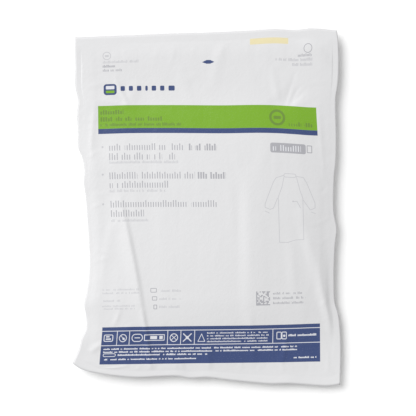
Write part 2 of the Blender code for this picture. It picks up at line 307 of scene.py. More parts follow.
@dataclass(frozen=True)
class CreaseFamily:
    """Small creases of one kind, placed unevenly from a fixed seed."""

    kind: CreaseKind
    count: int
    height: tuple[float, float]
    reach: tuple[float, float]
    seed: int

    def creases(self, lay: FilmLay) -> list[Crease]:
        """The creases of this family.

        Args:
            lay: how the film lies, for its sizes.

        Returns:
            One crease for each of the count.
        """
        dice = np.random.default_rng(self.seed)
        made = []
        for number in range(self.count):
            start, end = self._line(lay, dice, number)
            height = dice.uniform(*self.height) * dice.choice((1.0, 1.0, -0.8))
            left, right = dice.uniform(*self.reach, size=2)
            bow = dice.uniform(-2.0, 2.0)
            made.append(Crease(start, end, height, left, right, bow, dice.uniform(1.1, 1.8)))
        return made

    def _line(self, lay: FilmLay, dice: np.random.Generator, number: int) -> tuple[tuple, tuple]:
        """One crease's ends.

        Args:
            lay: how the film lies.
            dice: the seeded source of unevenness.
            number: which crease of the family this is.

        Returns:
            The start and the end on the film.
        """
        spread = (number + dice.uniform(0.1, 0.9)) / self.count
        if self.kind is CreaseKind.SIDE_TUCKS:
            along = 30 + spread * (lay.length - 70)
            tilt = dice.uniform(-12, 12)
            depth = dice.uniform(18, 36)
            if number % 2:
                return (lay.side_seal, along), (lay.side_seal + depth, along + tilt)
            return (lay.width - lay.side_seal, along), (lay.width - lay.side_seal - depth, along + tilt)
        if self.kind is CreaseKind.FOOT_TUCKS:
            across = 16 + spread * (lay.width - 32)
            return (across, lay.end_seal), (across + dice.uniform(-8, 8), dice.uniform(24, 52))
        if self.kind is CreaseKind.HEAD_TUCKS:
            across = 14 + spread * (lay.width - 28)
            head = lay.length - lay.end_seal
            return (across, head), (across + dice.uniform(-9, 9), head - dice.uniform(16, 38))
        if self.kind is CreaseKind.CORNER_FANS:
            corner = np.array(lay.content_corners()[number % 4])
            away = np.sign(corner - np.array([lay.width / 2, lay.length / 2]))
            angle = dice.uniform(0.25, 1.35)
            run = away * np.array([math.cos(angle), math.sin(angle)])
            start = corner - away * dice.uniform(2, 10)
            return tuple(start), tuple(start + run * dice.uniform(26, 46))
        if self.kind is CreaseKind.HEADER_RIPPLES:
            start = np.array([20 + spread * 255, dice.uniform(330, 388)])
            return tuple(start), tuple(start + dice.uniform((-30, -28), (30, 20)))
        start = np.array([60 + spread * 190, dice.uniform(150, 290)])
        return tuple(start), tuple(start + dice.uniform((-16, -80), (16, -30)))


FAMILIES = (
    CreaseFamily(CreaseKind.SIDE_TUCKS, 34, (0.06, 0.22), (3.0, 7.0), 11),
    CreaseFamily(CreaseKind.FOOT_TUCKS, 22, (0.1, 0.35), (2.5, 6.0), 12),
    CreaseFamily(CreaseKind.HEAD_TUCKS, 15, (0.05, 0.14), (3.0, 7.0), 13),
    CreaseFamily(CreaseKind.CORNER_FANS, 24, (0.15, 0.5), (3.0, 6.5), 14),
    CreaseFamily(CreaseKind.HEADER_RIPPLES, 16, (0.05, 0.16), (7.0, 14.0), 15),
    CreaseFamily(CreaseKind.TOP_STRETCH, 16, (0.05, 0.16), (6.0, 13.0), 16),
)


def ease(share: Array) -> Array:
    """0 to 1 with level ends, for a share from 0 to 1."""
    share = np.clip(share, 0.0, 1.0)
    return share * share * (3 - 2 * share)


def curve_through(rows: Sequence[NamedTuple], column: str, at: Array) -> Array:
    """A named column of a table, on a smooth curve through its rows.

    Args:
        rows: the table, in order along the film.
        column: the column to read.
        at: the places to read it at.

    Returns:
        The values there, in the same shape.
    """
    x = np.array([row.along for row in rows], float)
    y = np.array([getattr(row, column) for row in rows], float)
    chord = np.diff(y) / np.diff(x)
    slope = np.concatenate([chord[:1], (chord[:-1] + chord[1:]) / 2, chord[-1:]])
    i = np.clip(np.searchsorted(x, at, side="right") - 1, 0, len(x) - 2)
    width = x[i + 1] - x[i]
    t = np.clip((at - x[i]) / width, 0.0, 1.0)
    start = y[i] * (1 + 2 * t) * (1 - t) ** 2 + slope[i] * width * t * (1 - t) ** 2
    end = y[i + 1] * t * t * (3 - 2 * t) + slope[i + 1] * width * t * t * (t - 1)
    return start + end


@dataclass
class FilmLay:
    """How both webs lie round the contents, worked out from the sizes that the solids have."""

    width: float = 305.0
    length: float = 406.0
    side_seal: float = 7.0
    end_seal: float = 10.0
    print_left: float = 25.5
    print_right: float = 279.5
    foot_start: float = 205.0
    lower_band: float = 67.0
    upper_bands: tuple[float, float] = (291.0, 323.0)
    middle: tuple[float, float] = (-0.56, -2.12)
    back_lift_reach: float = 42.0
    front_lift_reach: float = 90.0
    side_droop: float = 0.9
    head_droop: float = 0.5
    foot_droop: float = -0.3
    bulge: float = 19.1
    puff: float = 0.5
    puff_reach: float = 24.0
    puff_power: float = 1.7

    def content_corners(self) -> list[tuple[float, float]]:
        """The four corners of the contents under the film."""
        return [(x, y) for x in (56.0, 252.0) for y in (62.0, 328.0)]

    def plan(self, across: Array, along: Array) -> tuple[Array, Array]:
        """Where places on the film lie seen from above.

        Args:
            across: distances from the left cut edge.
            along: distances from the foot cut edge.

        Returns:
            Their x and y in millimetres, from the middle of the outline.
        """
        left = curve_through(LEFT_EDGE, "out", along)
        right = curve_through(RIGHT_EDGE, "out", along)
        print_left = curve_through(PRINT_EDGES, "left", along)
        print_right = curve_through(PRINT_EDGES, "right", along)
        in_panel = (across - self.print_left) / (self.print_right - self.print_left)
        x = print_left + (print_right - print_left) * in_panel
        in_left = across / self.print_left
        x = np.where(in_left < 1, left + (print_left - left) * in_left, x)
        in_right = (across - self.print_right) / (self.width - self.print_right)
        x = np.where(in_right > 0, print_right + (right - print_right) * in_right, x)

        foot_pull = curve_through(FOOT_EDGE, "out", across) + self.foot_start
        foot_reach = 27.0 + 38.0 * np.clip(1 - in_left, 0.0, 1.0)
        head_pull = curve_through(HEAD_EDGE, "out", across) - (self.length - self.foot_start)
        y = along - self.foot_start
        y = y + foot_pull * (1 - ease(along / foot_reach))
        y = y + head_pull * (1 - ease((self.length - along) / 80.0))
        y = y + self.drift(across, along)
        return x - self.middle[0], y - self.middle[1]

    def drift(self, across: Array, along: Array) -> Array:
        """How far up the pouch the film has slipped, which is nothing at its ends."""
        low, high = self.lower_band, self.upper_bands[0]
        free_head = self.length - 8.0
        upward = ease((along - low) / (high - low))
        upward = upward * ease((free_head - along) / (free_head - self.upper_bands[1]))
        lower = np.clip(along / low, 0.0, 1.0) * (1 - ease((along - low) / (high - low)))
        return curve_through(DRIFT, "upper", across) * upward + curve_through(DRIFT, "lower", across) * lower

    def edge_share(self, distance: Array, seal: float, reach: float) -> Array:
        """How much of an edge's height is felt this far in: all of it over the seal, then less."""
        return 1 - ease((distance - seal) / (reach - seal))

    def edge_height(
        self, edge: Sequence[NamedTuple], at: Array, distance: Array, seal: float, droop: float | Array
    ) -> Array:
        """An edge's height, with the small step from the cut edge to the seal's inner line.

        Args:
            edge: the edge's table.
            at: places along it.
            distance: how far in from it.
            seal: the seal's width.
            droop: how much higher the inner line lies.

        Returns:
            The heights there.
        """
        return curve_through(edge, "lift", at) + droop * np.clip(distance / seal, 0.0, 1.0)

    def lift(self, across: Array, along: Array, reach: float) -> Array:
        """How far the curled edges raise the film off the surface.

        Args:
            across: distances from the left cut edge.
            along: distances from the foot cut edge.
            reach: how far in an edge's height is felt.

        Returns:
            The height, which is zero in the middle.
        """
        right, head = self.width - across, self.length - along
        near_left = self.edge_share(across, self.side_seal, reach)
        near_right = self.edge_share(right, self.side_seal, reach)
        near_foot = self.edge_share(along, self.end_seal, reach)
        near_head = self.edge_share(head, self.end_seal, reach)
        droop = self.side_droop * curve_through(RISE_ALONG, "share", along)
        total = self.edge_height(LEFT_EDGE, along, across, self.side_seal, droop) * near_left
        total += self.edge_height(RIGHT_EDGE, along, right, self.side_seal, droop) * near_right
        total += self.edge_height(FOOT_EDGE, across, along, self.end_seal, self.foot_droop) * near_foot
        total += self.edge_height(HEAD_EDGE, across, head, self.end_seal, self.head_droop) * near_head
        total -= (FOOT_EDGE[0].lift * near_left + FOOT_EDGE[-1].lift * near_right) * near_foot
        total -= (HEAD_EDGE[0].lift * near_left + HEAD_EDGE[-1].lift * near_right) * near_head
        return np.maximum(total, 0.0)

    def parting(self, distance: Array) -> Array:
        """How the webs part next to a seal, from 0 to 1: steep at the seal, then level."""
        return 1 - (1 - np.clip(distance / self.puff_reach, 0.0, 1.0)) ** self.puff_power

    def inside(self, across: Array, along: Array) -> Array:
        """How far inside the nearest seal a place is, and below zero in a seal."""
        sides = np.minimum(across - self.side_seal, self.width - self.side_seal - across)
        ends = np.minimum(along - self.end_seal, self.length - self.end_seal - along)
        return np.minimum(sides, ends)

    def contents(self, across: Array, along: Array) -> Array:
        """How far the contents part the two webs."""
        dome = curve_through(RISE_ACROSS, "share", across) * curve_through(RISE_ALONG, "share", along)
        front = self.lift(across, along, self.front_lift_reach)
        raised = front - self.lift(across, along, self.back_lift_reach)
        return np.maximum(self.bulge * dome + raised, 0.0) * (self.inside(across, along) > 0)

    def rise(self, across: Array, along: Array, creases: Iterable[Crease]) -> Array:
        """How far the front web stands off the back web inside the seals.

        Args:
            across: distances from the left cut edge.
            along: distances from the foot cut edge.
            creases: the ridges and troughs to add.

        Returns:
            The rise in millimetres.
        """
        air = self.parting(self.inside(across, along))
        total = np.hypot(self.contents(across, along), self.puff * air)
        near_seal = ease(self.inside(across, along) / 9.0)
        for crease in creases:
            total = total + crease_height(crease, across, along) * near_seal
        return np.maximum(total, 0.0)

    def seal_share(self, across: Array, along: Array) -> Array:
        """1 in the seals, falling to 0 well inside them."""
        return 1 - ease(self.inside(across, along) / 16.0)


def crease_height(crease: Crease, across: Array, along: Array) -> Array:
    """The height that one crease adds.

    Args:
        crease: its line, height and reach.
        across: distances from the left cut edge.
        along: distances from the foot cut edge.

    Returns:
        The added height in millimetres, zero away from it.
    """
    run = np.subtract(crease.end, crease.start)
    size = float(np.hypot(*run))
    off_across, off_along = across - crease.start[0], along - crease.start[1]
    t = np.clip((off_across * run[0] + off_along * run[1]) / size**2, 0.0, 1.0)
    off_line = (run[0] * off_along - run[1] * off_across) / size - crease.bow * 4 * t * (1 - t)
    off_line = np.where(off_line > 0, off_line / crease.left, -off_line / crease.right)
    crest = (1 - np.clip(off_line, 0.0, 1.0) ** crease.sharpness) ** 2
    return crease.height * np.sin(np.pi * t) ** 0.7 * crest


# Node building


class Wiring:
    """Adds nodes to one node tree and joins them."""

    def __init__(self, tree: bpy.types.NodeTree) -> None:
        """Starts on a tree.

        Args:
            tree: the tree to build in.
        """
        self.tree = tree

    def node(self, kind: str, **settings: object) -> bpy.types.Node:
        """A new node of that kind, with its settings."""
        made = self.tree.nodes.new(kind)
        for name, value in settings.items():
            setattr(made, name, value)
        return made

    def feed(self, socket: Socket, value: Value) -> None:
        """Links a socket to another, or gives it a value."""
        if isinstance(value, bpy.types.NodeSocket):
            self.tree.links.new(value, socket)
        else:
            socket.default_value = value

    def math(self, operation: str, *values: Value, clamp: bool = False) -> Socket:
        """The result of a Math node.

        Args:
            operation: Blender's name for it.
            values: its inputs, each a number or a socket.
            clamp: whether the result stays from 0 to 1.

        Returns:
            The result's socket.
        """
        made = self.node("ShaderNodeMath", operation=operation, use_clamp=clamp)
        for socket, value in zip(made.inputs, values):
            self.feed(socket, value)
        return made.outputs[0]

    def vector(self, operation: str, *values: Value) -> bpy.types.Node:
        """A Vector Math node with those inputs."""
        made = self.node("ShaderNodeVectorMath", operation=operation)
        for socket, value in zip(made.inputs, values):
            self.feed(socket, value)
        return made

    def across(self, place: Socket) -> Socket:
        """How far across the film a place is."""
        return self.vector("DOT_PRODUCT", place, (1.0, 0.0, 0.0)).outputs["Value"]

    def along(self, place: Socket) -> Socket:
        """How far along the film a place is."""
        return self.vector("DOT_PRODUCT", place, (0.0, 1.0, 0.0)).outputs["Value"]

    def ramp(self, value: Value, low: Value, high: Value, at_low: Value, at_high: Value) -> Socket:
        """A value taken smoothly from one range to another, and held at its ends."""
        made = self.node("ShaderNodeMapRange", interpolation_type="SMOOTHSTEP")
        names = ("Value", "From Min", "From Max", "To Min", "To Max")
        for name, item in zip(names, (value, low, high, at_low, at_high)):
            self.feed(made.inputs[name], item)
        return made.outputs["Result"]

    def mix(self, share: Value, first: Value, second: Value) -> Socket:
        """One colour mixed into another by a share."""
        made = self.node("ShaderNodeMix", data_type="RGBA")
        for index, value in zip((0, 6, 7), (share, first, second)):
            if isinstance(value, tuple) and len(value) == 3:
                value = (*value, 1.0)
            self.feed(made.inputs[index], value)
        return made.outputs[2]

    def noise(self, vector: Socket, scale: float, detail: float = 2.0, roughness: float = 0.5) -> Socket:
        """A noise texture's value over that vector."""
        made = self.node("ShaderNodeTexNoise")
        self.feed(made.inputs["Vector"], vector)
        made.inputs["Scale"].default_value = scale
        made.inputs["Detail"].default_value = detail
        made.inputs["Roughness"].default_value = roughness
        return made.outputs["Fac"]

    def chance(self, number: Value) -> Socket:
        """A value from 0 to 1 by chance, always the same for the same number.

        It is made of sums, because a white noise texture holds room in the renderer for its colour.

        Args:
            number: the number, up to a few hundred.

        Returns:
            The value's socket.
        """
        swing = self.math("SINE", self.math("MULTIPLY", number, 1.7))
        return self.math("FRACT", self.math("MULTIPLY", swing, 97.3))

    def group(self, tree: bpy.types.NodeTree, **inputs: Value) -> bpy.types.Node:
        """A node group placed in this tree, with its inputs by name."""
        made = self.node("ShaderNodeGroup", node_tree=tree)
        for name, value in inputs.items():
            self.feed(made.inputs[name.replace("_", " ").capitalize()], value)
        return made


class Effect:
    """A shader node group with named inputs and outputs, built once and shared."""

    def __init__(self, name: str, inputs: dict[str, str], outputs: dict[str, str]) -> None:
        """Makes the empty group.

        Args:
            name: the group's name.
            inputs: each input's name and its kind, Float, Vector or Color.
            outputs: the same for its outputs.
        """
        self.tree = bpy.data.node_groups.new(name, "ShaderNodeTree")
        for sockets, way in ((inputs, "INPUT"), (outputs, "OUTPUT")):
            for label, kind in sockets.items():
                self.tree.interface.new_socket(name=label, in_out=way, socket_type=f"NodeSocket{kind}")
        self.wiring = Wiring(self.tree)
        self.given = self.wiring.node("NodeGroupInput").outputs
        self._out = self.wiring.node("NodeGroupOutput").inputs

    def put_out(self, label: str, value: Socket) -> None:
        """Sends a socket out of the group under that name."""
        self.wiring.tree.links.new(value, self._out[label])


def printed_shape_effect() -> Effect:
    """A rounded box, disc or ring on the film.

    Returns:
        The group. Half is its half size less the corner's radius, and a line of SOLID fills it.
    """
    sockets = {"Film": "Vector", "Middle": "Vector", "Half": "Vector", "Corner": "Float", "Line": "Float"}
    effect = Effect("printed_shape", sockets, {"Mask": "Float"})
    w, given = effect.wiring, effect.given
    off = w.vector("ABSOLUTE", w.vector("SUBTRACT", given["Film"], given["Middle"]).outputs[0]).outputs[0]
    past = w.vector("SUBTRACT", off, given["Half"]).outputs[0]
    outer = w.vector("LENGTH", w.vector("MAXIMUM", past, (0.0, 0.0, 0.0)).outputs[0]).outputs["Value"]
    inner = w.math("MINIMUM", w.math("MAXIMUM", w.across(past), w.along(past)), 0.0)
    distance = w.math("SUBTRACT", w.math("ADD", outer, inner), given["Corner"])
    half_line = w.math("MULTIPLY", given["Line"], 0.5)
    line = w.math("SUBTRACT", w.math("ABSOLUTE", w.math("ADD", distance, half_line)), half_line)
    effect.put_out("Mask", w.ramp(line, -0.12, 0.12, 1.0, 0.0))
    return effect


def printed_stroke_effect() -> Effect:
    """A straight stroke with round ends, from a start along a run.

    Returns:
        The group. Per length is one over the run's length squared.
    """
    sockets = {"Film": "Vector", "Start": "Vector", "Run": "Vector", "Per length": "Float", "Width": "Float"}
    effect = Effect("printed_stroke", sockets, {"Mask": "Float"})
    w, given = effect.wiring, effect.given
    off = w.vector("SUBTRACT", given["Film"], given["Start"]).outputs[0]
    dot = w.vector("DOT_PRODUCT", off, given["Run"]).outputs["Value"]
    share = w.math("MAXIMUM", w.math("MINIMUM", w.math("MULTIPLY", dot, given["Per length"]), 1.0), 0.0)
    scaled = w.vector("SCALE", given["Run"])
    w.feed(scaled.inputs["Scale"], share)
    distance = w.vector("DISTANCE", off, scaled.outputs[0]).outputs["Value"]
    edge = w.math("SUBTRACT", distance, w.math("MULTIPLY", given["Width"], 0.5))
    effect.put_out("Mask", w.ramp(edge, -0.12, 0.12, 1.0, 0.0))
    return effect


def printed_rows_effect() -> Effect:
    """Rows of plain ticks with ragged ends.

    Returns:
        The group. Share is a row's height over the pitch, Word the length of a gap's cell, Tick the
        pitch of the ticks and Tick share their inked part.
    """
    sockets = {
        "Across": "Float", "Along": "Float", "Left": "Float", "Right": "Float", "Head": "Float",
        "Pitch": "Float", "Rows": "Float", "Share": "Float", "Ragged": "Float", "Seed": "Float",
        "Word": "Float", "Tick": "Float", "Tick share": "Float",
    }
    effect = Effect("printed_rows", sockets, {"Mask": "Float"})
    w, given = effect.wiring, effect.given
    into = w.math("SUBTRACT", given["Across"], given["Left"])
    down = w.math("DIVIDE", w.math("SUBTRACT", given["Head"], given["Along"]), given["Pitch"])
    seed = w.math("MULTIPLY", w.math("ADD", w.math("FLOOR", down), given["Seed"]), 3.37)
    depth = w.math("DIVIDE", w.math("FRACT", down), given["Share"])
    mask = w.math("MULTIPLY", w.math("LESS_THAN", depth, 1.0), w.math("GREATER_THAN", down, 0.0))
    mask = w.math("MULTIPLY", mask, w.math("LESS_THAN", down, given["Rows"]))

    short = w.math("MULTIPLY", w.chance(seed), given["Ragged"])
    length = w.math("SUBTRACT", w.math("SUBTRACT", given["Right"], given["Left"]), short)
    mask = w.math("MULTIPLY", mask, w.math("GREATER_THAN", into, 0.0))
    mask = w.math("MULTIPLY", mask, w.math("LESS_THAN", into, length))

    cell = w.math("FLOOR", w.math("DIVIDE", into, given["Word"]))
    gap = w.chance(w.math("ADD", cell, seed))
    mask = w.math("MULTIPLY", mask, w.math("GREATER_THAN", gap, 0.17))

    ticks = w.math("DIVIDE", into, given["Tick"])
    mask = w.math("MULTIPLY", mask, w.math("LESS_THAN", w.math("FRACT", ticks), given["Tick share"]))
    tall = w.chance(w.math("ADD", w.math("FLOOR", ticks), w.math("ADD", seed, 0.5)))
    bare = w.math("MULTIPLY", w.math("LESS_THAN", tall, 0.62), 0.27)
    effect.put_out("Mask", w.math("MULTIPLY", mask, w.math("GREATER_THAN", depth, bare)))
    return effect


def printed_cells_effect() -> Effect:
    """A square of small cells, filled or bare by chance, which stand for nothing.

    Returns:
        The group, over the whole film: the square is cut out of it by a shape.
    """
    sockets = {"Across": "Float", "Along": "Float", "Left": "Float", "Foot": "Float", "Cell": "Float"}
    effect = Effect("printed_cells", sockets, {"Mask": "Float"})
    w, given = effect.wiring, effect.given
    column = w.math("DIVIDE", w.math("SUBTRACT", given["Across"], given["Left"]), given["Cell"])
    row = w.math("DIVIDE", w.math("SUBTRACT", given["Along"], given["Foot"]), given["Cell"])
    place = w.math("ADD", w.math("FLOOR", column), w.math("MULTIPLY", w.math("FLOOR", row), 37.3))
    effect.put_out("Mask", w.math("GREATER_THAN", w.chance(place), 0.5))
    return effect


def film_surface_effect() -> Effect:
    """The fine relief of blown film: faint dents, pinched crinkles and an even haze.

    Returns:
        The group. Height is in millimetres and Haze is from 0 to 1.
    """
    effect = Effect(
        "film_surface", {"Film": "Vector", "Crinkle": "Float"}, {"Height": "Float", "Haze": "Float"}
    )
    w, given = effect.wiring, effect.given
    dents = w.math("MULTIPLY", w.math("SUBTRACT", w.noise(given["Film"], 0.055, 2.0), 0.5), 0.4)
    folds = w.noise(given["Film"], 0.14, 3.0, 0.55)
    folds = w.math("ABSOLUTE", w.math("SUBTRACT", folds, 0.5))
    pinched = w.math("POWER", w.math("SUBTRACT", 1.0, w.math("MULTIPLY", folds, 2.0), clamp=True), 9.0)
    pinched = w.math("MULTIPLY", w.math("MULTIPLY", pinched, 0.09), given["Crinkle"])
    fine = w.math("MULTIPLY", w.noise(given["Film"], 1.1, 2.0), 0.014)
    effect.put_out("Height", w.math("ADD", w.math("ADD", dents, pinched), fine))
    effect.put_out("Haze", w.noise(given["Film"], 0.03, 3.0, 0.6))
    return effect


def heat_seal_effect(lay: FilmLay) -> Effect:
    """The seal band round the pouch, with the fine ribs that the sealing bar leaves.

    Args:
        lay: how the film lies, for the seals' widths.

    Returns:
        The group. Band is 1 in a seal and Height is its relief in millimetres.
    """
    effect = Effect("heat_seal", {"Film": "Vector", "Rib": "Float"}, {"Band": "Float", "Height": "Float"})
    w, given = effect.wiring, effect.given
    across, along = w.across(given["Film"]), w.along(given["Film"])
    side = w.math("MINIMUM", across, w.math("SUBTRACT", lay.width, across))
    end = w.math("MINIMUM", along, w.math("SUBTRACT", lay.length, along))
    in_side = w.ramp(side, lay.side_seal - 0.4, lay.side_seal + 0.4, 1.0, 0.0)
    in_end = w.ramp(end, lay.end_seal - 0.4, lay.end_seal + 0.4, 1.0, 0.0)
    band = w.math("MAXIMUM", in_side, in_end)
    side_ribs = w.math("SINE", w.math("MULTIPLY", side, 2 * math.pi / 1.6))
    end_ribs = w.math("SINE", w.math("MULTIPLY", end, 2 * math.pi / 1.6))
    ribs = w.math("ADD", w.math("MULTIPLY", side_ribs, in_side), w.math("MULTIPLY", end_ribs, in_end))
    ribs = w.math("MULTIPLY", ribs, given["Rib"])
    effect.put_out("Band", band)
    effect.put_out("Height", w.math("SUBTRACT", ribs, w.math("MULTIPLY", band, 0.02)))
    return effect


# The print


class Ink(Enum):
    """The inks of the front web, as base colours."""

    GREEN = (0.170, 0.366, 0.013)
    OLIVE = (0.120, 0.205, 0.035)
    NAVY = (0.033, 0.058, 0.168)
    GREY = (0.30, 0.30, 0.33)
    PALE_GREY = (0.46, 0.46, 0.485)
    WHITE = (0.72, 0.73, 0.76)
    STRAW = (0.72, 0.63, 0.34)


class Shape(NamedTuple):
    """A printed box: its sides on the film, its corner radius, and its line's width or SOLID."""

    left: float
    right: float
    foot: float
    head: float
    corner: float = 0.0
    line: float = SOLID


class Stroke(NamedTuple):
    """A printed line from one place on the film to another."""

    start: tuple[float, float]
    end: tuple[float, float]
    width: float = 0.7


class Ticks(Enum):
    """How ticks are set: the length of a gap's cell, the ticks' pitch, and their inked part."""

    FAINT = (1.8, 1.5, 0.55)
    FINE = (1.8, 1.5, 0.7)
    CLOSE = (1.8, 1.5, 0.85)
    LARGE = (3.6, 2.9, 0.36)
    BOLD = (3.6, 2.9, 0.62)


class Rows(NamedTuple):
    """A block of plain ticks in rows, which stand for nothing.

    Ticks of one width follow each other, short or tall by chance, with a bare cell here and there. The
    share is a row's height over the pitch, and ragged is how much shorter than the block a row may be.
    """

    left: float
    right: float
    head: float
    pitch: float
    seed: int
    ticks: Ticks = Ticks.FINE
    rows: int = 1
    share: float = 1.0
    ragged: float = 0.0


def ring(across: float, along: float, radius: float, line: float = SOLID) -> Shape:
    """A printed ring, or a disc, round a place on the film."""
    return Shape(across - radius, across + radius, along - radius, along + radius, radius, line)


def strokes_through(*places: tuple[float, float]) -> tuple[Stroke, ...]:
    """Printed lines that follow each other from place to place."""
    return tuple(Stroke(start, end) for start, end in zip(places, places[1:]))


@dataclass(frozen=True)
class InkLayer:
    """All that one ink prints, over the layers before it."""

    ink: Ink
    strength: float
    shapes: tuple[Shape, ...] = ()
    strokes: tuple[Stroke, ...] = ()
    rows: tuple[Rows, ...] = ()


GOWN_FIGURE = (
    *strokes_through(
        (238.6, 242.3), (229.8, 239.2), (226.6, 234.5), (216.6, 209.0), (216.3, 204.5), (222.1, 202.0),
    ),
    *strokes_through((216.2, 200.2), (221.2, 197.8)),
    *strokes_through((222.1, 202.0), (226.2, 203.7), (231.0, 215.4)),
    *strokes_through(
        (239.1, 241.1), (236.4, 228.7), (231.9, 216.6), (232.6, 163.4), (242.0, 163.1), (251.5, 166.3),
        (261.0, 166.8), (260.4, 216.4), (257.2, 225.7), (253.4, 241.1),
    ),
    *strokes_through(
        (253.4, 242.0), (261.6, 240.9), (265.5, 234.3), (274.7, 211.0), (274.6, 205.1), (269.1, 202.5),
        (261.0, 214.0),
    ),
    *strokes_through((269.9, 200.2), (275.0, 198.4)),
    *strokes_through((249.4, 212.1), (253.6, 212.3)),
    *strokes_through((253.6, 212.2), (257.7, 204.6)),
)

# Small marks in boxes along the strip over the foot of the print
STRIP_SHAPES = (
    Shape(25.5, 279.5, 62.0, 62.8), Shape(25.5, 279.5, 45.7, 46.5),
    Shape(43.0, 43.8, 46.1, 62.4), Shape(57.4, 58.2, 46.1, 62.4), Shape(101.8, 102.6, 46.1, 62.4),
    Shape(117.1, 117.9, 46.1, 62.4), Shape(133.1, 133.9, 46.1, 62.4), Shape(224.0, 224.8, 46.1, 62.4),
    Shape(27.9, 38.9, 50.6, 58.6, 1.8, 0.9), Shape(30.4, 36.4, 52.8, 54.2, 0.3),
    Shape(30.4, 34.6, 55.4, 56.8, 0.3),
    ring(50.3, 54.3, 4.5, 0.9), ring(51.0, 53.6, 1.3),
    Shape(60.4, 73.4, 49.8, 58.8, 4.4, 0.9), Shape(63.8, 70.2, 53.8, 54.8, 0.3),
    Shape(74.9, 98.8, 50.8, 58.0, 0.6, 0.9), Shape(82.0, 90.0, 52.6, 56.2, 0.4),
    Shape(92.6, 96.6, 52.6, 56.2, 0.4),
    ring(109.5, 54.0, 4.8, 0.9), ring(125.1, 53.9, 1.8),
    Shape(228.6, 234.6, 50.4, 59.0, 1.4, 0.9), Shape(234.6, 240.6, 50.4, 59.0, 1.4, 0.9),
    ring(237.6, 54.4, 1.3),
    Shape(28.6, 43.4, 33.4, 37.2, 1.9, 0.7),
)

STRIP_STROKES = (
    Stroke((47.6, 57.2), (53.0, 51.6)),
    Stroke((106.5, 56.8), (112.6, 51.4)), Stroke((106.5, 51.4), (112.6, 56.8)),
    Stroke((120.6, 58.2), (129.6, 49.8), 1.2), Stroke((120.6, 49.8), (129.6, 58.2), 1.2),
    *strokes_through((137.6, 49.4), (141.6, 57.9), (145.6, 49.4), (137.6, 49.4)),
)

# Each plain block in a row beside a badge: its left side and its right side
PLAIN_BLOCKS = (
    (52.2, 58.6), (61.8, 68.0), (71.2, 77.8), (81.0, 85.2), (88.4, 95.0), (98.2, 104.6), (108.0, 116.6),
)

